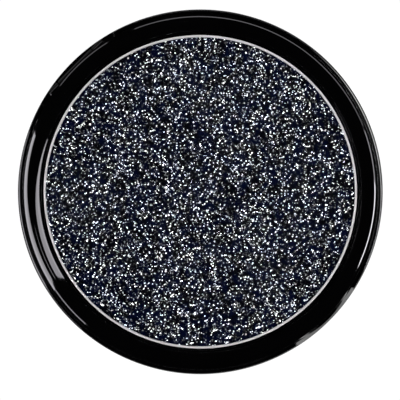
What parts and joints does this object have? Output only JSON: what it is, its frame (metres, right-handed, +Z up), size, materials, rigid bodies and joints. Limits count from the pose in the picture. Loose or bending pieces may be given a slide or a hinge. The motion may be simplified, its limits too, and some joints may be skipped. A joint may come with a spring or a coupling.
{
  "type": "eyeshadow compact",
  "caption": "Round gloss black compact with a hinged, clear-windowed lid over a metal pan of dark pressed glitter eyeshadow.",
  "frame": {"origin": "centre of the case's outline, at the height of the foot ring that it stands on", "axes": "+Z up through the window; -Y to the thumb scoop at the front, +Y to the hinge, +X to the right when the front faces you"},
  "size_m": [0.042, 0.042, 0.0113],
  "materials": {
    "case_plastic": "piano black, polished",
    "adhesive": "translucent glue film",
    "pan_metal": "bright pressed metal",
    "glitter_powder": "pressed glitter, navy black with silver flakes",
    "label_paper": "satin, blank",
    "pin_steel": "drawn wire",
    "window_plastic": "crystal clear, polished"
  },
  "bodies": {
    "base": {"base_shell": "case_plastic", "pan_tray": "case_plastic", "pan_adhesive": "adhesive", "shadow_pan": "pan_metal", "pressed_shadow": "glitter_powder", "base_label": "label_paper", "hinge_pin": "pin_steel"},
    "lid": {"lid_bezel": "case_plastic", "lid_window": "window_plastic", "window_frame": "case_plastic"}
  },
  "joints": [
    {"name": "lid_hinge", "type": "hinge", "parent": "base", "child": "lid", "pos_m": [0, 0.0197, 0.0073], "axis": [-1, 0, 0], "range_deg": [0, 120]}
  ]
}
